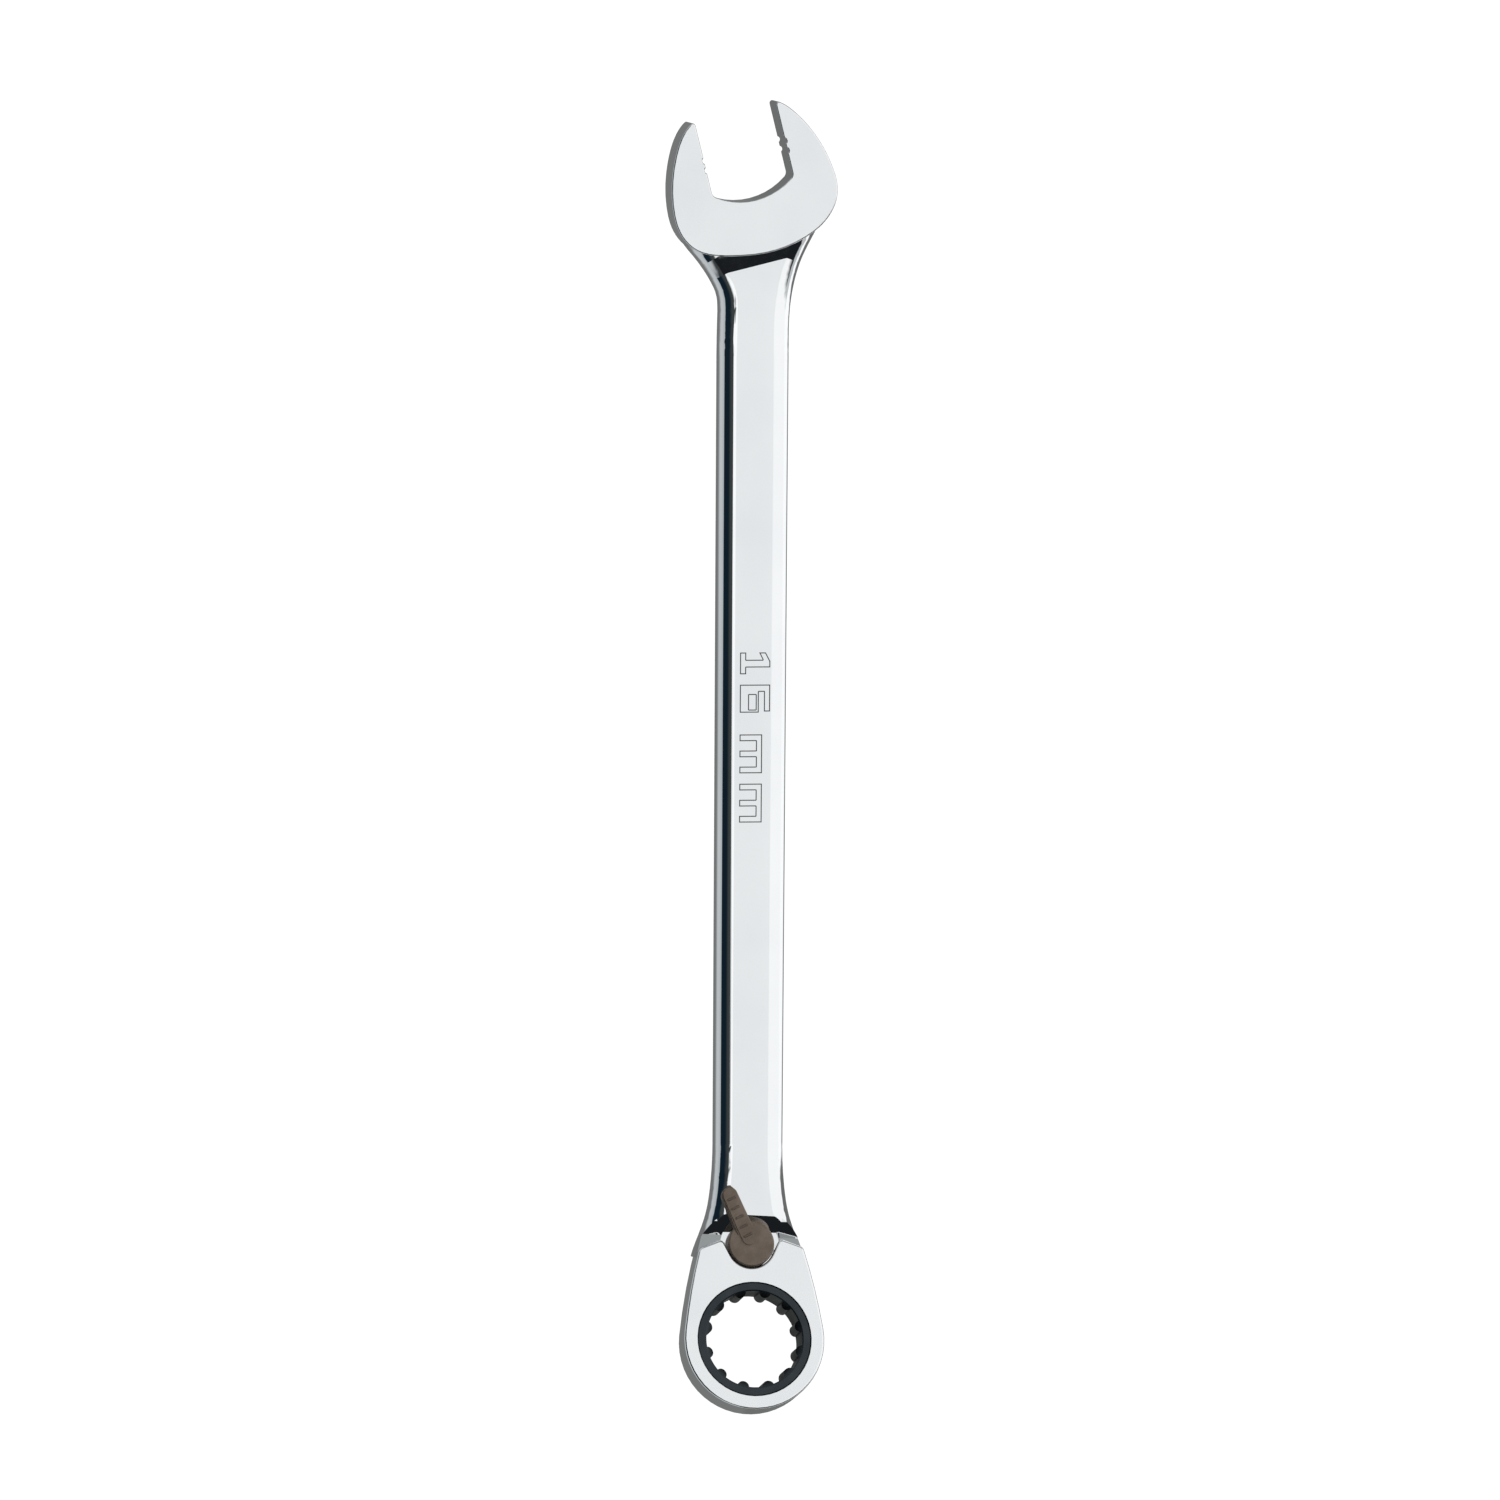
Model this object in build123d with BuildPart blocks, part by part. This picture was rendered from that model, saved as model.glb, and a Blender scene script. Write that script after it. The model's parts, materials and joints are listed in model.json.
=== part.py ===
from build123d import *
import os
from math import cos, radians, sin, sqrt, tan

# A reversible ratcheting combination wrench for 16 mm hexagons, in millimetres.
# Origin: the centre of the ratchet gear. +Y runs along the shank to the open end, +Z is the lever side.

# ---- driving dimensions -----------------------------------------------------------------------
HEX_SIZE = 16.0                 # across flats of the nut that both ends drive
BOX_TILT = 15.0                 # degrees between the box end's face and the shank
JAW_TURN = 14.0                 # degrees that the open end's jaw leans from the shank

SHANK_MIDDLE = -6.4             # height of the shank's middle plane
SHANK_THICK = 7.0
SHANK_HALF_NARROW = 6.78        # half width beside the box end's neck
SHANK_HALF_WIDE = 6.97          # half width beside the open end's neck
SHANK_ROUNDING = 3.4
NECK_LOW, NECK_HIGH = 38.0, 190.0   # the straight part of the shank lies between these

OPEN_THICK = 8.4
OPEN_EDGE = 0.25                # rounding of the open end's edges
JAW_X, JAW_Y = -1.69, 226.31    # where the jaw's middle line crosses the middle of its flats
JAW_OPENING = HEX_SIZE + 0.1
THROAT_RADIUS = 13.1
THROAT_DEPTH = 6.45             # from the middle of the flats down to the throat's floor
THROAT_CORNER = 1.3
JAW_LENGTH = 10.3               # from the middle of the flats up to the bevel of the tips
TIP_ROUNDING = 0.5
GRIP_GROOVES = (3.2, 1.3)       # shallow grooves across the jaw's flats
GRIP_GROOVE_RADIUS, GRIP_GROOVE_DEPTH = 0.6, 0.35

HEAD_RADIUS = 13.65
HEAD_TOP, HEAD_BOTTOM = 4.0, -4.0   # faces of the box end, along the gear's axis
HEAD_EDGE = 0.7                 # rounding of the rear face
PLATEAU_EDGE = 0.45             # rounding of the front face
PLATEAU_FOOT, LOWER_TOP = 0.5, 2.9  # the raised plateau and the layer below it share the height between
FLOOR = 1.9                     # ledge that the lever's disc turns on
LEDGE_RADIUS = 5.75             # round boss that carries the ledge
RUNNING_FIT = 0.08              # radial clearance of the gear

GEAR_TEETH = 72
GEAR_TIP, GEAR_ROOT = 11.9, 11.45
GEAR_TOP, GEAR_BOTTOM = 3.9, -3.9
TEETH_TOP, TEETH_BOTTOM = 2.35, -2.85
GEAR_NECK = 11.05               # front journal, seen as the dark ring
GEAR_REAR_NECK = 11.1
SPLINES = 12
SPLINE_ROOT = 9.35
SPLINE_LOBE = 1.1               # radius of each rounded spline
SPLINE_LOBE_CENTRE = 9.45

RING_OUTER, RING_INNER = 12.6, 11.25
RING_TOP, RING_BOTTOM = -2.95, -3.55
RING_GAP = 20.0                 # degrees open

LEVER_AXIS = 18.53              # distance of the lever's axis from the gear's
LEVER_REST = 25.0               # degrees that the tail leans left of the shank at rest
DISC_RADIUS = 4.45
DISC_BOTTOM, DISC_TOP = 2.0, 4.45
RECESS_RADIUS = 4.6             # round seat that the disc sits in
RECESS_FLARE, FLARE_LENGTH = 27.0, 4.0  # the seat's sides open by this angle towards the shank
HORN_CORNER = 0.8
STEM_RADIUS = 2.6
STEM_FIT = 0.06
STEM_FOOT_RADIUS = 1.85
STEM_FOOT_BOTTOM = -3.9
TAIL_LENGTH = 11.6              # from the lever's axis to the tail's tip
TAIL_HALF = 1.6
TAIL_THICK = 1.55
TAIL_LIFT = 0.3                 # gap between the tail and the shank's face
PAD_HALF = 1.3
PAD_RISE = 0.3

POCKET_TOP, POCKET_BOTTOM = 1.1, -2.6
PAWL_GAP = 0.1                  # above and below the pawl
PAWL_PIVOT = 12.5               # distance of the pawl's rocking centre from the gear's
PAWL_RADIUS = 5.8
PAWL_ROCK = 5.0                 # degrees either side of the middle position
PAWL_BACK = 3.3                 # radius of the hollow back, about the lever's axis
PAWL_END = 16.6                 # how far the pawl's horns reach from the gear's axis
BARE_ANGLE = 11.5               # the pawl's middle has no teeth within this angle
MESH_GAP = 0.08

BORE_RADIUS = 1.15              # hole across the stem, for the spring and plunger
BORE_END = -1.7                 # its blind end, past the stem's axis
PLUNGER_RADIUS = 1.1
PLUNGER_START, PLUNGER_TIP = 0.6, 3.25
SPRING_WIRE, SPRING_RADIUS, SPRING_TURNS = 0.24, 0.8, 4
CLIP_OUTER, CLIP_GROOVE = 2.9, 1.4
CLIP_TOP, CLIP_BOTTOM = -3.32, -3.7

MARK_DEPTH, MARK_LINE = 0.12, 0.2   # engraved size mark
MARK_X, MARK_Y = -2.6, 133.0

# ---- frames -------------------------------------------------------------------------------------
SHANK_TOP = SHANK_MIDDLE + SHANK_THICK / 2
SHANK_BOTTOM = SHANK_MIDDLE - SHANK_THICK / 2
TILT_SIN, TILT_COS = sin(radians(BOX_TILT)), cos(radians(BOX_TILT))
HEAD = Plane(origin=(0, 0, 0), x_dir=(1, 0, 0), z_dir=(0, TILT_SIN, TILT_COS))
JAW = Plane(
    origin=(JAW_X, JAW_Y, SHANK_MIDDLE),
    x_dir=(cos(radians(JAW_TURN)), sin(radians(JAW_TURN)), 0),
    z_dir=(0, 0, 1),
)


def on_head(height, across=0.0, along=0.0, turn=0.0):
    """A plane parallel to the box end's face, moved and turned about the gear's direction."""
    return Plane(HEAD.location * Location((across, along, height), (0, 0, turn)))


def on_jaw(height):
    """A plane parallel to the open end's face, with its y axis along the jaw."""
    return Plane(JAW.location * Location((0, 0, height)))


def tilted_face(height, y):
    """The point (y, z) where a plane parallel to the box end's face stands at a distance y."""
    return y, (height - y * TILT_SIN) / TILT_COS


def from_head(along, height):
    """The point (y, z) at a distance along the box end's face and a height above its middle."""
    return along * TILT_COS + height * TILT_SIN, height * TILT_COS - along * TILT_SIN


def polar(radius, angle):
    """A point at an angle in degrees, measured clockwise from the y axis."""
    return radius * sin(radians(angle)), radius * cos(radians(angle))


def gear_outline(tip, root, half_tip, half_root):
    """The points of the gear's toothed rim; the half widths are degrees of arc."""
    points = []
    for tooth in range(GEAR_TEETH):
        middle = (tooth + 0.5) * 360 / GEAR_TEETH
        points += [polar(root, middle - half_root), polar(tip, middle - half_tip)]
        points += [polar(tip, middle + half_tip), polar(root, middle + half_root)]
    return points


def wedge(reach, opening, middle):
    """The corners of a wedge from the centre, some degrees wide, for the gap of an open ring."""
    return [(0, 0), polar(reach, middle - opening / 2), polar(reach, middle + opening / 2)]


# ---- wrench body ------------------------------------------------------------------------------
# Half widths of the two necks at distances along the shank.
BOX_NECK = [(10.9, 16.0), (9.65, 19.6), (8.2, 23.7), (7.15, 30.0)]
OPEN_NECK_RIGHT = [(7.35, 200.6), (9.2, 208.2), (12.5, 215.2)]
OPEN_NECK_LEFT = [(15.0, 215.8), (13.4, 211.3), (11.1, 208.5), (8.1, 203.9)]
RAMP_FOOT, RAMP_HEAD = -18.8, -15.2     # the neck thickens between these, measured along the jaw
# The open end's rim as seen in the jaw's frame, from the left tip round to the right one.
OPEN_RIM = [
    (-5.5, 11.2), (-8.7, 10.8), (-10.7, 9.2), (-13.2, 5.4), (-15.2, 0.3), (-16.1, -4.4), (-15.8, -9.4),
    (-13.7, -13.0), (-7.4, -15.8), (0.5, -16.9), (8.0, -15.7), (12.5, -13.4), (15.7, -9.0), (15.9, -3.7),
    (13.9, 3.5), (11.1, 8.4), (8.7, 10.8), (5.5, 11.5),
]
HEAD_SIDE_ANGLE = 8.0           # where the round rim turns into the long side, above the x axis
HEAD_SIDE_END = (9.4, 20.3)
HEEL = 25.6
SHOULDER_PLACE = 0.866          # where along the long side the plateau's shoulder is
SHOULDER_CORNER = 1.5
HORN_SLOPE = 20.0               # degrees that the plateau's end slopes back on each side
# Trough across the neck: it slopes down from the shank's face and then gently up under the plateau.
TROUGH_START = 24.2             # distance of its upper edge along the shank
TROUGH_TURN = 3.5               # degrees that it runs askew
TROUGH_BOTTOM, TROUGH_END = (20.3, 1.55), 13.0      # distances along the box end's face, and the depth
TROUGH_RISE = 10.0              # degrees between its far side and the box end's face


def glyph_one(x):
    Polyline((x, 0), (x + 4.2, 0), (x + 4.2, 1.2), (x + 2.9, 1.2), (x + 2.9, 5.9), (x + 1.7, 5.9),
             (x, 5.0), (x, 3.7), (x + 1.4, 4.4), (x + 1.4, 1.2), (x, 1.2), close=True)


def glyph_six(x):
    Polyline((x, 0), (x + 5.4, 0), (x + 5.4, 3.7), (x + 1.4, 3.7), (x + 1.4, 4.7), (x + 5.2, 4.7),
             (x + 5.2, 5.9), (x, 5.9), close=True)


def glyph_m(x):
    Polyline((x, 0), (x + 1.3, 0), (x + 1.3, 3.2), (x + 3.1, 3.2), (x + 3.1, 0), (x + 4.4, 0),
             (x + 4.4, 3.2), (x + 6.2, 3.2), (x + 6.2, 0), (x + 7.5, 0), (x + 7.5, 4.4), (x, 4.4),
             close=True)


with BuildSketch(Plane(origin=(MARK_X, MARK_Y, SHANK_TOP), x_dir=(0, -1, 0), z_dir=(0, 0, 1))) as size_mark:
    for glyph, start in ((glyph_one, 0.0), (glyph_six, 6.2), (glyph_m, 15.8), (glyph_m, 25.3)):
        with BuildLine():
            glyph(start)
        make_face()
    with Locations((6.2 + 3.4, 2.45)):
        Rectangle(4.0 - 1.2, 1.3, mode=Mode.SUBTRACT)
    offset(amount=-MARK_LINE, mode=Mode.SUBTRACT)

# Lower layer of the box end, with a round heel underneath the neck.
side_start = polar(HEAD_RADIUS, 90 - HEAD_SIDE_ANGLE)
side_way = polar(1, -HEAD_SIDE_ANGLE)
head_axis = Axis(HEAD.origin, HEAD.z_dir)
with BuildPart() as box_lower:
    with BuildSketch(on_head(HEAD_BOTTOM)):
        with BuildLine():
            right_side = TangentArc(side_start, HEAD_SIDE_END, tangent=side_way)
            mirror(right_side, about=Plane.YZ)
            ThreePointArc(HEAD_SIDE_END, (0, HEEL), (-HEAD_SIDE_END[0], HEAD_SIDE_END[1]))
            ThreePointArc((-side_start[0], side_start[1]), (0, -HEAD_RADIUS), side_start)
        make_face()
    extrude(amount=LOWER_TOP - HEAD_BOTTOM)
    fillet(box_lower.faces().sort_by(head_axis)[0].edges(), HEAD_EDGE)

# Raised plateau round the gear, with two round-cornered horns beside the lever's seat.
with BuildPart() as plateau:
    with BuildSketch(on_head(PLATEAU_FOOT)) as horns:
        with BuildLine():
            side = TangentArc(side_start, right_side @ SHOULDER_PLACE, tangent=side_way)
            corner = side @ 1
            horn = Line(corner, (0, corner.Y + corner.X * tan(radians(HORN_SLOPE))))
            mirror([side, horn], about=Plane.YZ)
            ThreePointArc((-side_start[0], side_start[1]), (0, -HEAD_RADIUS), side_start)
        make_face()
        with Locations((0, LEVER_AXIS)):
            Circle(RECESS_RADIUS, mode=Mode.SUBTRACT)
        with BuildLine():
            flare_x, flare_y = polar(RECESS_RADIUS, 90 + RECESS_FLARE)
            low = (flare_x, LEVER_AXIS + flare_y)
            high = (flare_x + FLARE_LENGTH * tan(radians(RECESS_FLARE)), low[1] + FLARE_LENGTH)
            Polyline(low, high, (-high[0], high[1]), (-low[0], low[1]), close=True)
        make_face(mode=Mode.SUBTRACT)
        upper = horns.vertices().filter_by(lambda point: point.Y > low[1] + 0.1)
        fillet(upper.filter_by(lambda point: abs(point.X) > high[0]), SHOULDER_CORNER)
        tips = horns.vertices().filter_by(lambda point: abs(point.X) < high[0] and point.Y > LEVER_AXIS)
        fillet(tips, HORN_CORNER)
    extrude(amount=HEAD_TOP - PLATEAU_FOOT)
    fillet(plateau.faces().sort_by(head_axis)[-1].edges(), PLATEAU_EDGE)

# Open end, with its jaw.
with BuildPart() as open_end:
    with BuildSketch(on_jaw(-OPEN_THICK / 2)) as jaw_outline:
        with BuildLine():
            rim = Spline(*OPEN_RIM)
            Polyline(rim @ 1, (5.5, 0), (-5.5, 0), rim @ 0)
        make_face()
        with BuildLine():
            reach = JAW_OPENING / 2
            corner = THROAT_DEPTH - THROAT_RADIUS + sqrt(THROAT_RADIUS ** 2 - reach ** 2)
            ThreePointArc((-reach, -corner), (0, -THROAT_DEPTH), (reach, -corner))
            Polyline((reach, -corner), (reach, JAW_LENGTH), (reach + 0.8, JAW_LENGTH + 1.7),
                     (-reach - 0.8, JAW_LENGTH + 1.7), (-reach, JAW_LENGTH), (-reach, -corner))
        make_face(mode=Mode.SUBTRACT)
        lower = jaw_outline.vertices().filter_by(lambda point: point.Y < 0)
        corners = lower.filter_by(lambda point: abs(abs(point.X) - reach) < 0.01)
        fillet(corners, THROAT_CORNER)
        tips = jaw_outline.vertices().filter_by(lambda point: point.Y > JAW_LENGTH - 0.1)
        fillet(tips, TIP_ROUNDING)
        inset = reach + GRIP_GROOVE_DEPTH - GRIP_GROOVE_RADIUS
        with Locations(*[(hand * inset, place) for hand in (1, -1) for place in GRIP_GROOVES]):
            Circle(GRIP_GROOVE_RADIUS, mode=Mode.SUBTRACT)
    extrude(amount=OPEN_THICK)
    faces = open_end.faces().filter_by(Axis.Z)
    fillet([edge for face in faces for edge in face.edges()], OPEN_EDGE)

with BuildPart() as wrench_body:
    # Shank and both necks, with round sides.
    with BuildSketch(Plane.XY.offset(SHANK_MIDDLE - OPEN_THICK / 2)):
        with BuildLine():
            slope = (-sin(radians(15)), cos(radians(15)))
            narrow, wide = (SHANK_HALF_NARROW, NECK_LOW), (SHANK_HALF_WIDE, NECK_HIGH)
            lower_right = Spline(*BOX_NECK, narrow, tangents=(slope, (0, 1)))
            Line(narrow, wide)
            upper_right = Spline(wide, *OPEN_NECK_RIGHT, tangents=((0, 1), (0.45, 0.9)))
            left_wide = (-SHANK_HALF_WIDE, NECK_HIGH)
            left_narrow = (-SHANK_HALF_NARROW, NECK_LOW)
            left_points = [(-x, y) for x, y in OPEN_NECK_LEFT]
            upper_left = Spline(*left_points, left_wide, tangents=((0.2, -1), (0, -1)))
            Line(left_wide, left_narrow)
            box_points = [(-x, y) for x, y in reversed(BOX_NECK)]
            lower_left = Spline(left_narrow, *box_points, tangents=((0, -1), (slope[0], -slope[1])))
            Line(upper_right @ 1, upper_left @ 0)
            Line(lower_left @ 1, lower_right @ 0)
        make_face()
    extrude(amount=OPEN_THICK)
    half, half_open = SHANK_THICK / 2, OPEN_THICK / 2 - 0.05
    side_view = Plane(JAW.origin, x_dir=JAW.y_dir, z_dir=JAW.x_dir)
    with BuildSketch(side_view):
        with BuildLine():
            Polyline((-230, -half), (RAMP_FOOT, -half), (RAMP_HEAD, -half_open), (0, -half_open),
                     (0, half_open), (RAMP_HEAD, half_open), (RAMP_FOOT, half), (-230, half), close=True)
        make_face()
    extrude(amount=60, both=True, mode=Mode.INTERSECT)
    long_edges = [
        edge for edge in wrench_body.edges()
        if min(abs((edge @ 0).X), abs((edge @ 1).X)) > 5
        and (edge @ 0).X * (edge @ 1).X > 0
        and abs((edge @ 0).Y - (edge @ 1).Y) > 2
        and abs((edge @ 0).Z - (edge @ 1).Z) < 1
    ]
    fillet(long_edges, SHANK_ROUNDING)

    # Below the box end's neck, the shank stops level with the rounding of the rear face.
    rear = HEAD_BOTTOM + HEAD_EDGE + 0.1
    with BuildSketch(Plane.YZ):
        with BuildLine():
            heel_y = (rear - SHANK_BOTTOM * TILT_COS) / TILT_SIN
            Polyline(tilted_face(rear, 5), (heel_y, SHANK_BOTTOM), (heel_y, -20), (5, -20), close=True)
        make_face()
    extrude(amount=40, both=True, mode=Mode.SUBTRACT)
    add(open_end.part)
    add(box_lower.part)

    # Above it, the trough, the round seat of the lever's disc, and the plateau.
    along, across = polar(1, TROUGH_TURN), polar(1, 90 + TROUGH_TURN)
    with BuildSketch(Plane((0, 0, 0), x_dir=(*along, 0), z_dir=(*across, 0))):
        with BuildLine():
            reach = TROUGH_BOTTOM[0] - TROUGH_END
            end = from_head(TROUGH_END, TROUGH_BOTTOM[1] + reach * tan(radians(TROUGH_RISE)))
            Polyline((TROUGH_START, SHANK_TOP), from_head(*TROUGH_BOTTOM), end, (end[0], 20),
                     (TROUGH_START, 20), close=True)
        make_face()
    extrude(amount=40, both=True, mode=Mode.SUBTRACT)
    with BuildSketch(on_head(0, along=LEVER_AXIS)):
        Circle(LEDGE_RADIUS)
    extrude(amount=FLOOR)
    with BuildSketch(on_head(FLOOR, along=LEVER_AXIS)):
        Circle(RECESS_RADIUS)
    extrude(amount=20, mode=Mode.SUBTRACT)
    add(plateau.part)

    # Gear bore, its front window and the snap ring's groove.
    with BuildSketch(on_head(HEAD_BOTTOM)):
        Circle(GEAR_TIP + RUNNING_FIT)
    extrude(amount=TEETH_TOP + 0.1 - HEAD_BOTTOM, mode=Mode.SUBTRACT)
    with BuildSketch(on_head(HEAD_BOTTOM)):
        Circle(GEAR_NECK + RUNNING_FIT)
    extrude(amount=HEAD_TOP - HEAD_BOTTOM, mode=Mode.SUBTRACT)
    with BuildSketch(on_head(RING_BOTTOM)):
        Circle(RING_OUTER)
    extrude(amount=RING_TOP - RING_BOTTOM, mode=Mode.SUBTRACT)

    # Pocket for the pawl, reached through the gear bore.
    with BuildSketch(on_head(POCKET_BOTTOM, along=PAWL_PIVOT)):
        Circle(PAWL_RADIUS + 0.15)
        with Locations((0, PAWL_END + 0.5 - PAWL_PIVOT + 10)):
            Rectangle(20, 20, mode=Mode.SUBTRACT)
    extrude(amount=POCKET_TOP - POCKET_BOTTOM, mode=Mode.SUBTRACT)

    # Hole for the lever's stem, its foot and the clip behind it.
    with BuildSketch(on_head(POCKET_BOTTOM, along=LEVER_AXIS)):
        Circle(STEM_RADIUS + STEM_FIT)
    extrude(amount=FLOOR - POCKET_BOTTOM, mode=Mode.SUBTRACT)
    with BuildSketch(on_head(HEAD_BOTTOM, along=LEVER_AXIS)):
        Circle(STEM_FOOT_RADIUS + STEM_FIT)
    extrude(amount=POCKET_BOTTOM - HEAD_BOTTOM, mode=Mode.SUBTRACT)
    with BuildSketch(on_head(HEAD_BOTTOM, along=LEVER_AXIS)):
        Circle(CLIP_OUTER + 0.3)
    extrude(amount=CLIP_TOP + 0.07 - HEAD_BOTTOM, mode=Mode.SUBTRACT)

    # Size mark on the shank.
    add(size_mark.sketch)
    extrude(amount=-MARK_DEPTH, mode=Mode.SUBTRACT)

# ---- ratchet gear -------------------------------------------------------------------------------
TOOTH_HALF_TIP, TOOTH_HALF_ROOT = 0.45, 2.05    # half widths of a gear tooth, in degrees of arc

with BuildPart() as ratchet_gear:
    with BuildSketch(on_head(GEAR_BOTTOM)):
        Circle(GEAR_REAR_NECK)
    extrude(amount=TEETH_BOTTOM - GEAR_BOTTOM)
    with BuildSketch(on_head(TEETH_BOTTOM)):
        with BuildLine():
            Polyline(*gear_outline(GEAR_TIP, GEAR_ROOT, TOOTH_HALF_TIP, TOOTH_HALF_ROOT), close=True)
        make_face()
    extrude(amount=TEETH_TOP - TEETH_BOTTOM)
    with BuildSketch(on_head(TEETH_TOP)):
        Circle(GEAR_NECK)
    extrude(amount=GEAR_TOP - TEETH_TOP)
    chamfer(ratchet_gear.faces().sort_by(head_axis)[-1].edges(), 0.2)
    with BuildSketch(on_head(GEAR_BOTTOM)):
        Circle(SPLINE_ROOT)
        with PolarLocations(SPLINE_LOBE_CENTRE, SPLINES, start_angle=180 / SPLINES):
            Circle(SPLINE_LOBE, mode=Mode.SUBTRACT)
    extrude(amount=GEAR_TOP - GEAR_BOTTOM, mode=Mode.SUBTRACT)
    # Funnels at both mouths of the splined hole lead the nut in.
    with BuildSketch(Plane(HEAD.origin, x_dir=HEAD.x_dir, z_dir=-HEAD.y_dir)):
        with BuildLine():
            mouth, tip, lead = SPLINE_ROOT + 0.25, SPLINE_LOBE_CENTRE - SPLINE_LOBE, 0.75
            Polyline((0, GEAR_TOP), (mouth, GEAR_TOP), (tip, GEAR_TOP - lead), (tip, GEAR_BOTTOM + lead),
                     (mouth, GEAR_BOTTOM), (0, GEAR_BOTTOM), close=True)
        make_face()
    revolve(axis=head_axis, mode=Mode.SUBTRACT)

with BuildPart() as gear_snap_ring:
    with BuildSketch(on_head(RING_BOTTOM)):
        Circle(RING_OUTER)
        Circle(RING_INNER, mode=Mode.SUBTRACT)
        with BuildLine():
            Polyline(*wedge(2 * RING_OUTER, RING_GAP, middle=180), close=True)
        make_face(mode=Mode.SUBTRACT)
    extrude(amount=RING_TOP - RING_BOTTOM)

# ---- pawl ---------------------------------------------------------------------------------------
# Drawn in its middle position about its rocking centre, then turned to mesh on the right-hand side.
pawl_plane = on_head(POCKET_BOTTOM + PAWL_GAP, along=PAWL_PIVOT, turn=-PAWL_ROCK)
gear_x, gear_y = PAWL_PIVOT * sin(radians(PAWL_ROCK)), -PAWL_PIVOT * cos(radians(PAWL_ROCK))
with BuildPart() as pawl:
    with BuildSketch(pawl_plane):
        Circle(PAWL_RADIUS)
        with Locations((0, PAWL_END - PAWL_PIVOT + 10)):
            Rectangle(20, 20, mode=Mode.SUBTRACT)
        with Locations((0, LEVER_AXIS - PAWL_PIVOT)):
            Circle(PAWL_BACK, mode=Mode.SUBTRACT)
        meshed = gear_outline(GEAR_TIP + MESH_GAP, GEAR_ROOT + MESH_GAP, TOOTH_HALF_TIP + 0.35,
                              TOOTH_HALF_ROOT + 0.1)
        bare_end = BARE_ANGLE - PAWL_ROCK
        bare = [(0, 0)] + [polar(GEAR_TIP + 0.4, bare_end - 3 * step) for step in range(10)]
        for hand in (1, -1):
            for shape in (meshed, bare):
                with BuildLine():
                    Polyline(*[(hand * (gear_x + x), gear_y + y) for x, y in shape], close=True)
                make_face(mode=Mode.SUBTRACT)
    extrude(amount=POCKET_TOP - POCKET_BOTTOM - 2 * PAWL_GAP)

# ---- reversing lever ----------------------------------------------------------------------------
def on_lever(height):
    """A plane across the lever's axis with its y axis along the tail."""
    return on_head(height, along=LEVER_AXIS, turn=LEVER_REST)


def detent_plane(distance):
    """A plane across the stem's side hole, at a distance from the lever's axis towards the pawl."""
    middle = on_lever((POCKET_TOP + POCKET_BOTTOM) / 2)
    return Plane(middle.origin - middle.y_dir * distance, x_dir=middle.x_dir, z_dir=-middle.y_dir)


lever_side = Plane(on_lever(0).origin, x_dir=on_lever(0).y_dir, z_dir=on_lever(0).x_dir)
shank_face_slope = tan(radians(BOX_TILT))
tail_base = SHANK_TOP / TILT_COS + shank_face_slope * LEVER_AXIS + TAIL_LIFT


def tail_height(distance):
    """Height of the tail's underside at a distance from the lever's axis."""
    return tail_base + shank_face_slope * distance


with BuildPart() as lever_tail:
    with BuildSketch(lever_side):
        with BuildLine():
            low, high = tail_height(1.5), tail_height(TAIL_LENGTH)
            Polyline((1.5, low), (TAIL_LENGTH, high), (TAIL_LENGTH, high + TAIL_THICK),
                     (1.5, low + TAIL_THICK), close=True)
        make_face()
    extrude(amount=TAIL_HALF + 1, both=True)
    with BuildSketch(on_lever(0)):
        with BuildLine():
            shoulder_half, tip_centre = TAIL_HALF + 0.2, TAIL_LENGTH - TAIL_HALF
            Line((shoulder_half, 1.5), (TAIL_HALF, tip_centre))
            ThreePointArc((TAIL_HALF, tip_centre), (0, TAIL_LENGTH), (-TAIL_HALF, tip_centre))
            Polyline((-TAIL_HALF, tip_centre), (-shoulder_half, 1.5), (shoulder_half, 1.5))
        make_face()
    extrude(amount=12, mode=Mode.INTERSECT)
    upper = lever_tail.faces().filter_by(GeomType.PLANE).sort_by(head_axis)[-1]
    fillet(upper.edges().filter_by(lambda edge: edge.length > 2 * shoulder_half + 0.1), 0.25)

bend = (DISC_TOP - tail_base - TAIL_THICK) / shank_face_slope     # where the tail's top leaves the disc's


def pad_height(distance, rise=PAD_RISE):
    """Height of a line that runs flat over the disc and then up along the tail."""
    return DISC_TOP + rise + shank_face_slope * max(0, distance - bend)


with BuildPart() as lever_pad:
    pad_start, pad_end = 1.1, TAIL_LENGTH - TAIL_HALF
    with BuildSketch(lever_side):
        with BuildLine():
            outline = [(place, pad_height(place)) for place in (-1, bend, TAIL_LENGTH)]
            underside = [(place, pad_height(place, -0.5)) for place in (TAIL_LENGTH, bend, -1)]
            Polyline(*outline, *underside, close=True)
        make_face()
    extrude(amount=PAD_HALF + 1, both=True)
    with BuildSketch(on_lever(0)):
        with Locations((0, (pad_start + pad_end) / 2)):
            SlotCenterToCenter(pad_end - pad_start, 2 * PAD_HALF, rotation=90)
    extrude(amount=12, mode=Mode.INTERSECT)
    # Low ribs across the pad give the thumb a grip.
    with BuildSketch(lever_side):
        for place in (1.7, 3.6, 5.5, 7.4, 9.3):
            with Locations((place, pad_height(place))):
                Circle(0.22)
    extrude(amount=0.8, both=True)

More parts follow.
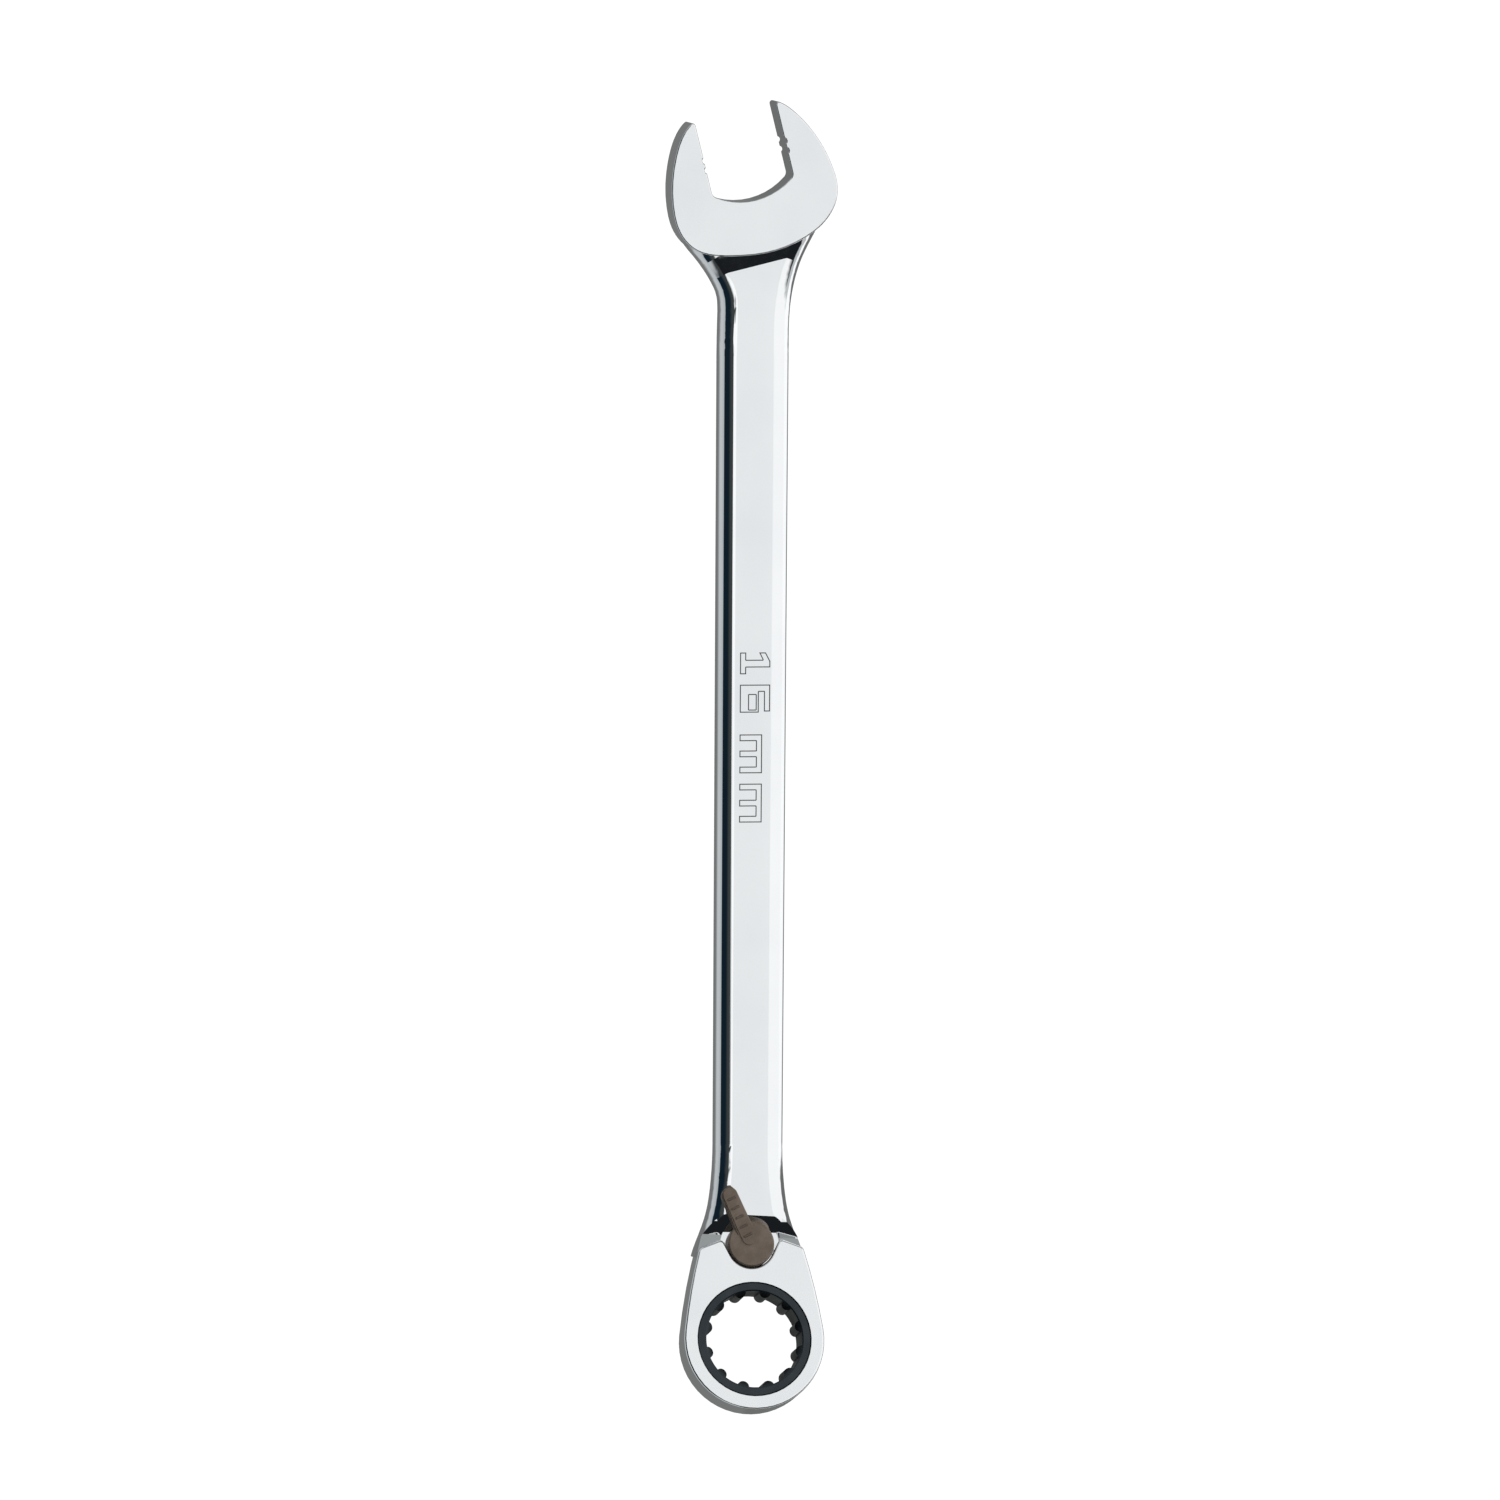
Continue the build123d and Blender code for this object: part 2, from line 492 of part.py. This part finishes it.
with BuildPart() as reversing_lever:
    with BuildSketch(on_lever(DISC_BOTTOM)):
        Circle(DISC_RADIUS)
    extrude(amount=DISC_TOP - DISC_BOTTOM)
    fillet(reversing_lever.faces().sort_by(head_axis)[-1].edges(), 0.3)
    add(lever_tail.part)
    add(lever_pad.part)
    with BuildSketch(on_lever(POCKET_BOTTOM + 0.05)):
        Circle(STEM_RADIUS)
    extrude(amount=DISC_BOTTOM - POCKET_BOTTOM)
    with BuildSketch(on_lever(STEM_FOOT_BOTTOM)):
        Circle(STEM_FOOT_RADIUS)
    extrude(amount=POCKET_BOTTOM + 0.1 - STEM_FOOT_BOTTOM)
    with BuildSketch(on_lever(CLIP_BOTTOM)):
        Circle(STEM_FOOT_RADIUS + 1)
        Circle(CLIP_GROOVE, mode=Mode.SUBTRACT)
    extrude(amount=CLIP_TOP - CLIP_BOTTOM, mode=Mode.SUBTRACT)
    # Hole across the stem, open towards the pawl, for the detent's spring and plunger.
    with BuildSketch(detent_plane(BORE_END)):
        Circle(BORE_RADIUS)
    extrude(amount=STEM_RADIUS + 0.5 - BORE_END, mode=Mode.SUBTRACT)

with BuildPart() as lever_retaining_clip:
    with BuildSketch(on_lever(CLIP_BOTTOM)):
        Circle(CLIP_OUTER)
        Circle(CLIP_GROOVE, mode=Mode.SUBTRACT)
        with BuildLine():
            Polyline(*wedge(2 * CLIP_OUTER, 70, middle=0), close=True)
        make_face(mode=Mode.SUBTRACT)
    extrude(amount=CLIP_TOP - CLIP_BOTTOM)

with BuildPart() as detent_plunger:
    with BuildSketch(detent_plane(PLUNGER_START)):
        Circle(PLUNGER_RADIUS)
    extrude(amount=PLUNGER_TIP - PLUNGER_START)
    fillet(detent_plunger.edges().sort_by(Axis(detent_plane(0).origin, detent_plane(0).z_dir))[-1], 0.7)

with BuildPart() as detent_spring:
    spring_length = PLUNGER_START - BORE_END - SPRING_WIRE
    spring_end = detent_plane(BORE_END + SPRING_WIRE / 2)
    with BuildLine():
        coil = Helix(pitch=spring_length / SPRING_TURNS, height=spring_length, radius=SPRING_RADIUS,
                     center=spring_end.origin, direction=spring_end.z_dir)
    with BuildSketch(Plane(coil @ 0, z_dir=coil % 0)):
        Circle(SPRING_WIRE / 2)
    sweep(is_frenet=True)

os.makedirs("parts", exist_ok=True)
for piece, name in (
    (wrench_body, "wrench_body"),
    (ratchet_gear, "ratchet_gear"),
    (gear_snap_ring, "gear_snap_ring"),
    (pawl, "pawl"),
    (reversing_lever, "reversing_lever"),
    (lever_retaining_clip, "lever_retaining_clip"),
    (detent_plunger, "detent_plunger"),
    (detent_spring, "detent_spring"),
):
    piece.part.label = name
    export_step(piece.part, f"parts/{name}.step")
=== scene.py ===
"""Looks for the reversible ratcheting combination wrench: materials, studio and camera.

Lengths are metres in the CAD frame: X across the wrench, Y from the box end to the open end, Z up.
"""

import json
from math import cos, pi, radians, sin

import bpy
from mathutils import Matrix, Vector


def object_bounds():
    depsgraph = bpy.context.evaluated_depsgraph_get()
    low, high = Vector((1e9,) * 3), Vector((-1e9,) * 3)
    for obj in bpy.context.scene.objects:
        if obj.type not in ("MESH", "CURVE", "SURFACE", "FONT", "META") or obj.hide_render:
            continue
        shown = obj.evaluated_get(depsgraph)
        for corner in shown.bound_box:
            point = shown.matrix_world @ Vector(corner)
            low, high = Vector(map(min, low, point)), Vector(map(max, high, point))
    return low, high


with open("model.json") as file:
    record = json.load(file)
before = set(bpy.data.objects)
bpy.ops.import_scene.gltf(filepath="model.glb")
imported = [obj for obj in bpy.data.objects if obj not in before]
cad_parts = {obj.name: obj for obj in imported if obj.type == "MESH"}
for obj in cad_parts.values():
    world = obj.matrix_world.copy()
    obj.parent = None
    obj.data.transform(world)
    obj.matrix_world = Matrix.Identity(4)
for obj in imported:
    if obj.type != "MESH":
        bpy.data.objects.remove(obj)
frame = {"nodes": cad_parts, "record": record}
cad_box = [list(corner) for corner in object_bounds()]
nodes = frame["nodes"]
lowest = cad_box[0][2]

# Each pair of numbers below is the stretch over which a mask fades in or out.
BOX_TILT = radians(15)
GEAR_AXIS = Vector((0, sin(BOX_TILT), cos(BOX_TILT)))
PLATEAU_HEIGHT = (0.0038, 0.0039)           # along the gear's axis: the box end's flat top
BOX_END = (0.022, 0.023)
JAW_HEIGHT = (-0.0024, -0.0023)             # the open end's flat top
JAW_START = (0.205, 0.206)
SHANK_FACE = -0.0029
SHANK_START, SHANK_END = (0.024, 0.030), (0.200, 0.207)
MARK_MIDDLE, MARK_HALF_LENGTH = 0.1165, (0.018, 0.019)
MARK_HALF_WIDTH = (0.00334, 0.00338)
# Below GEAR_FACE the gear's colour turns near black, a painted shade.
GEAR_FACE = (0.0032, 0.0038)                # along the gear's axis: above it the gear is in the open


# ---- node helpers -------------------------------------------------------------------------------
class Graph:
    """Small helper that adds shader nodes and links them in one call."""

    def __init__(self, tree):
        self.tree = tree
        tree.nodes.clear()

    def add(self, kind, inputs=None, **settings):
        node = self.tree.nodes.new(kind)
        for name, value in settings.items():
            setattr(node, name, value)
        for name, value in (inputs or {}).items():
            self.put(node.inputs[name], value)
        return node

    def put(self, socket, value):
        if isinstance(value, bpy.types.NodeSocket):
            self.tree.links.new(value, socket)
        else:
            socket.default_value = value

    def math(self, operation, *values, clamp=False):
        node = self.add("ShaderNodeMath", operation=operation, use_clamp=clamp)
        for socket, value in zip(node.inputs, values):
            self.put(socket, value)
        return node.outputs[0]

    def ramp(self, value, low_in, high_in, low_out, high_out, smooth=True):
        """value mapped from one range to another, clamped at both ends."""
        node = self.add("ShaderNodeMapRange", {"Value": value, "From Min": low_in, "From Max": high_in,
                                               "To Min": low_out, "To Max": high_out})
        node.interpolation_type = "SMOOTHSTEP" if smooth else "LINEAR"
        return node.outputs["Result"]

    def between(self, value, start, end):
        """1 between two stretches and 0 outside them, with smooth ends."""
        return self.math("MULTIPLY", self.ramp(value, *start, 0, 1), self.ramp(value, *end, 1, 0))

    def noise(self, where, scale, detail=3.0, roughness=0.5, stretch=(1, 1, 1)):
        mapping = self.add("ShaderNodeMapping", {"Vector": where, "Scale": stretch})
        return self.add("ShaderNodeTexNoise", {"Vector": mapping.outputs[0], "Scale": scale, "Detail": detail,
                                               "Roughness": roughness}).outputs["Fac"]

    def blend(self, factor, first, second):
        """Mix of two colours."""
        node = self.add("ShaderNodeMix", data_type="RGBA")
        self.put(node.inputs["Factor"], factor)
        self.put(node.inputs[6], first)
        self.put(node.inputs[7], second)
        return node.outputs[2]

    def bump(self, height, strength, distance, normal=None):
        inputs = {"Height": height, "Strength": strength, "Distance": distance}
        if normal is not None:
            inputs["Normal"] = normal
        return self.add("ShaderNodeBump", inputs).outputs["Normal"]


def rgb(red, green, blue):
    return (red, green, blue, 1.0)


def metal(name, build):
    """A new material whose Principled shader is filled in by build(graph, position)."""
    material = bpy.data.materials.new(name)
    material.use_nodes = True
    graph = Graph(material.node_tree)
    position = graph.add("ShaderNodeTexCoord").outputs["Object"]
    shader = graph.add("ShaderNodeBsdfPrincipled", build(graph, position))
    output = graph.add("ShaderNodeOutputMaterial")
    graph.put(output.inputs["Surface"], shader.outputs[0])
    return material


def height_along(graph, position, direction):
    dot = graph.add("ShaderNodeVectorMath", operation="DOT_PRODUCT")
    graph.put(dot.inputs[0], position)
    graph.put(dot.inputs[1], tuple(direction))
    return dot.outputs["Value"]


# ---- materials ----------------------------------------------------------------------------------
def forging_chrome(g, position):
    """Mirror chrome on the shank, slightly satin on both ends' flat faces, and dark in the engraved mark."""
    xyz = g.add("ShaderNodeSeparateXYZ", {"Vector": position}).outputs
    on_head = g.ramp(height_along(g, position, GEAR_AXIS), *PLATEAU_HEIGHT, 0, 1, smooth=False)
    on_head = g.math("MULTIPLY", on_head, g.ramp(xyz["Y"], *BOX_END, 1, 0, smooth=False))
    on_jaw = g.ramp(xyz["Z"], *JAW_HEIGHT, 0, 1, smooth=False)
    on_jaw = g.math("MULTIPLY", on_jaw, g.ramp(xyz["Y"], *JAW_START, 0, 1, smooth=False))
    satin = g.math("MAXIMUM", on_head, on_jaw)
    # The mark's grooves lie just under the shank's face, inside its flat strip.
    below_face = g.ramp(xyz["Z"], SHANK_FACE - 0.00008, SHANK_FACE - 0.00003, 1, 0, smooth=False)
    above_floor = g.ramp(xyz["Z"], SHANK_FACE - 0.0003, SHANK_FACE - 0.0002, 0, 1, smooth=False)
    strip = g.ramp(g.math("ABSOLUTE", xyz["X"]), *MARK_HALF_WIDTH, 1, 0, smooth=False)
    along = g.math("ABSOLUTE", g.math("SUBTRACT", xyz["Y"], MARK_MIDDLE))
    length = g.ramp(along, *MARK_HALF_LENGTH, 1, 0, smooth=False)
    groove = g.math("MULTIPLY", below_face, above_floor)
    groove = g.math("MULTIPLY", groove, g.math("MULTIPLY", strip, length))
    grain = g.noise(position, 900, 4, 0.6, (1, 0.25, 1))
    smear = g.noise(position, 60, 4, 0.55)
    wave = g.noise(position, 30, 2, 0.4, (1, 0.3, 1))
    rough = g.math("ADD", g.ramp(smear, 0.35, 0.75, 0.035, 0.07), g.math("MULTIPLY", satin, 0.10))
    rough = g.math("ADD", rough, g.ramp(grain, 0.3, 0.7, -0.01, 0.01))
    rough = g.math("ADD", rough, g.math("MULTIPLY", groove, 0.4))
    tint = g.blend(g.ramp(smear, 0.3, 0.8, 0, 1), rgb(0.80, 0.81, 0.815), rgb(0.765, 0.775, 0.785))
    tint = g.blend(groove, tint, rgb(0.10, 0.105, 0.11))
    # Polishing leaves the shank's long face very slightly crowned, and all of the chrome a little wavy.
    across = g.math("MINIMUM", g.math("ABSOLUTE", xyz["X"]), 0.004)
    on_shank = g.between(xyz["Y"], SHANK_START, SHANK_END)
    crown = g.math("MULTIPLY", g.math("MULTIPLY", across, across), g.math("MULTIPLY", on_shank, -4.0))
    normal = g.bump(crown, 1.0, 1.0)
    normal = g.bump(wave, 0.35, 0.0003, normal)
    normal = g.bump(grain, 0.05, 0.00002, normal)
    return {"Base Color": tint, "Metallic": 1.0, "Roughness": rough, "Normal": normal}


def black_oxide(g, position):
    """Satin black-oxide steel, rubbed lighter in places, with painted shade: near black below its open face,
    in the splines and inside the housing.
    """
    cloud = g.noise(position, 220, 4, 0.55)
    grain = g.noise(position, 2600, 3, 0.6)
    tint = g.blend(g.ramp(cloud, 0.35, 0.7, 0, 1), rgb(0.030, 0.038, 0.043), rgb(0.046, 0.056, 0.062))
    # Painted shade: below the gear's open face the colour turns near black.
    outside_painted_shade = g.ramp(height_along(g, position, GEAR_AXIS), *GEAR_FACE, 0, 1)
    tint = g.blend(outside_painted_shade, rgb(0.012, 0.013, 0.014), tint)
    rough = g.ramp(cloud, 0.3, 0.7, 0.30, 0.42)
    return {"Base Color": tint, "Metallic": 0.85, "Roughness": rough, "Normal": g.bump(grain, 0.25, 0.00003)}


def bronze_plate(g, position):
    """Satin brown-bronze plating with a fine cast grain and thumb wear."""
    cloud = g.noise(position, 260, 4, 0.6)
    grain = g.noise(position, 3200, 3, 0.65)
    tint = g.blend(g.ramp(cloud, 0.35, 0.7, 0, 1), rgb(0.175, 0.137, 0.108), rgb(0.225, 0.180, 0.146))
    rough = g.ramp(grain, 0.3, 0.7, 0.42, 0.52)
    return {"Base Color": tint, "Metallic": 0.75, "Roughness": rough, "Normal": g.bump(grain, 0.3, 0.00004)}


def oiled_steel(g, position):
    """Hardened steel inside the ratchet, under a film of grease."""
    cloud = g.noise(position, 300, 3, 0.5)
    tint = g.blend(cloud, rgb(0.30, 0.29, 0.28), rgb(0.42, 0.42, 0.42))
    return {"Base Color": tint, "Metallic": 1.0, "Roughness": g.ramp(cloud, 0.3, 0.7, 0.22, 0.4),
            "Normal": g.bump(cloud, 0.2, 0.00003)}


def spring_steel(g, position):
    """Drawn, heat-darkened spring wire and strip."""
    cloud = g.noise(position, 500, 3, 0.5, (1, 1, 3))
    tint = g.blend(cloud, rgb(0.16, 0.155, 0.155), rgb(0.30, 0.29, 0.28))
    return {"Base Color": tint, "Metallic": 1.0, "Roughness": g.ramp(cloud, 0.3, 0.7, 0.28, 0.42),
            "Normal": g.bump(cloud, 0.2, 0.00002)}


finishes = {
    "forging": metal("polished_chrome", forging_chrome),
    "dark_gear": metal("black_oxide", black_oxide),
    "lever": metal("bronze_plate", bronze_plate),
    "hardened_steel": metal("oiled_steel", oiled_steel),
    "spring_steel": metal("spring_steel", spring_steel),
}
for part in frame["record"]["subparts"]:
    mesh = nodes[part["node"]].data
    mesh.materials.clear()
    mesh.materials.append(finishes[part["material_slot"]])

# ---- studio -------------------------------------------------------------------------------------
# A soft box overhead and to the right, with a brighter edge on its left; a dark flag on the upper left and a
# grey card low on the left. Towards the open end the box gives way to a strip of grey and then to the dark.
# The dark and the flag end where the plain grey room begins, so the chrome stays light from other sides.
DARK, BRIGHT = rgb(0.012, 0.014, 0.016), rgb(1.20, 1.21, 1.22)
ROOM = rgb(0.60, 0.62, 0.63)
BOX_EDGE, BRIGHT_EDGE, SIDE_LIGHT = (-15, -10), (-6, -2), (9, 25)     # lean
FLAG_FADE, CARD_EDGE = (-44, -26), (-79, -73)                         # lean
STRIP_START, STRIP_END = (31, 37), (50, 56)                           # away
FLAG_FRONT, FLAG_BACK = (26, 36), (-54, -44)                          # away
REAR_DARK = (-22, -12)                                                # pitch
ROOM_HEIGHT = (0.27, 0.38)                                            # sine of the height above the floor

world = bpy.data.worlds.new("studio")
world.use_nodes = True
bpy.context.scene.world = world
g = Graph(world.node_tree)
generated = g.add("ShaderNodeTexCoord").outputs["Generated"]
direction = g.add("ShaderNodeSeparateXYZ", {"Vector": generated}).outputs
# Degrees to the right of straight up, and degrees towards +Y.
lean = g.math("MULTIPLY", g.math("ARCTAN2", direction["X"], direction["Z"]), 180 / pi)
away = g.math("MULTIPLY", g.math("ARCSINE", direction["Y"]), 180 / pi)
# Twice the slope along Y of the mirror that turns the view from above this way.
pitch = g.math("MULTIPLY", g.math("ARCTAN2", direction["Y"], g.math("ADD", direction["Z"], 1.0)), 360 / pi)
panel = g.blend(g.ramp(lean, *BRIGHT_EDGE, 0, 1), BRIGHT, rgb(0.985, 1.0, 1.01))
panel = g.blend(g.ramp(lean, *SIDE_LIGHT, 0, 1), panel, rgb(1.14, 1.15, 1.16))
dark = g.blend(g.ramp(direction["Z"], *ROOM_HEIGHT, 1, 0), DARK, ROOM)
strip = g.blend(g.ramp(away, *STRIP_END, 0, 1), rgb(0.36, 0.38, 0.385), dark)
panel = g.blend(g.ramp(away, *STRIP_START, 0, 1), panel, strip)
panel = g.blend(g.ramp(pitch, *REAR_DARK, 0, 1), dark, panel)
flag = g.blend(g.ramp(lean, *FLAG_FADE, 0, 1), rgb(0.006, 0.016, 0.026), rgb(0.050, 0.058, 0.058))
flag = g.blend(g.ramp(away, *FLAG_FRONT, 0, 1), flag, ROOM)
flag = g.blend(g.ramp(away, *FLAG_BACK, 1, 0), flag, ROOM)
card_side = g.blend(g.ramp(lean, *CARD_EDGE, 1, 0), flag, rgb(0.53, 0.57, 0.59))
sky = g.blend(g.ramp(lean, *BOX_EDGE, 0, 1), card_side, panel)
background = g.add("ShaderNodeBackground", {"Color": sky, "Strength": 1.0})
g.put(g.add("ShaderNodeOutputWorld").inputs["Surface"], background.outputs[0])

# The floor glows plain white to the eye; to the chrome it glows grey, a painted shadow that is darker close
# to the wrench and spreads far out to the right of both heads.
MIDDLE, FLOOR_GAP = 0.11, 0.0002            # half-way along the wrench, and the floor's distance below it
SHADE_START, SHADE_END = (0.020, 0.035), (0.198, 0.212)
HEAD_SHADE, SHANK_SHADE = 0.0155, 0.007     # half the wrench's width
HEAD_REACH, SHANK_REACH = 0.080, 0.0045     # how far the shade spreads on the right
bpy.ops.mesh.primitive_plane_add(size=40, location=(0, MIDDLE, lowest - FLOOR_GAP))
floor = bpy.context.object
floor.name = "floor"
paint = bpy.data.materials.new("floor_paint")
paint.use_nodes = True
g = Graph(paint.node_tree)
seen = g.add("ShaderNodeLightPath").outputs["Is Camera Ray"]
spot = g.add("ShaderNodeSeparateXYZ", {"Vector": g.add("ShaderNodeNewGeometry").outputs["Position"]}).outputs
on_shank = g.between(spot["Y"], SHADE_START, SHADE_END)
half_width = g.ramp(on_shank, 0, 1, HEAD_SHADE, SHANK_SHADE, smooth=False)
clear = g.math("SUBTRACT", g.math("ABSOLUTE", spot["X"]), half_width)
left_side = g.blend(g.ramp(clear, 0.004, 0.016, 0, 1), rgb(0.20, 0.205, 0.205), rgb(0.60, 0.63, 0.65))
reach = g.ramp(on_shank, 0, 1, HEAD_REACH, SHANK_REACH, smooth=False)
beyond = g.math("DIVIDE", clear, reach)
# Painted shadow on the right: it reaches far out beside the heads and only a little way beside the shank.
right_side = g.blend(g.ramp(beyond, 0.8, 2.0, 0, 1), rgb(0.17, 0.175, 0.175), rgb(1.20, 1.21, 1.22))
shade = g.blend(g.ramp(spot["X"], -0.001, 0.001, 0, 1), left_side, right_side)
painted_shadow_glow = g.add("ShaderNodeEmission", {"Color": shade, "Strength": 1.0})
white = g.add("ShaderNodeEmission", {"Color": rgb(1, 1, 1), "Strength": 1.05})
mix = g.add("ShaderNodeMixShader", {"Fac": seen})
g.put(mix.inputs[1], painted_shadow_glow.outputs[0])
g.put(mix.inputs[2], white.outputs[0])
g.put(g.add("ShaderNodeOutputMaterial").inputs["Surface"], mix.outputs[0])
floor.data.materials.append(paint)

# ---- camera -------------------------------------------------------------------------------------
AZIMUTH, ELEVATION, ROLL = radians(9.2), radians(4.7), radians(0.37)
DISTANCE, FRAME_WIDTH = 3.0, 0.28846
CENTRE = Vector((0, 0.110, -0.003))
SHIFT_LEFT, SHIFT_UP = 0.0005, 0.00417
towards = Vector((-sin(AZIMUTH) * cos(ELEVATION), sin(ELEVATION), cos(AZIMUTH) * cos(ELEVATION)))
right = Vector((0, 1, 0)).cross(towards).normalized()
up = towards.cross(right)
right, up = right * cos(ROLL) + up * sin(ROLL), up * cos(ROLL) - right * sin(ROLL)
target = CENTRE - right * SHIFT_LEFT + up * SHIFT_UP
lens = bpy.data.cameras.new("camera")
lens.sensor_width = 36
lens.lens = 36 * DISTANCE / FRAME_WIDTH
lens.clip_end = 100
camera = bpy.data.objects.new("camera", lens)
bpy.context.scene.collection.objects.link(camera)
pose = Matrix((right, up, towards)).transposed().to_4x4()
pose.translation = target + towards * DISTANCE
camera.matrix_world = pose
bpy.context.scene.camera = camera
bpy.context.scene.view_settings.view_transform = "Standard"
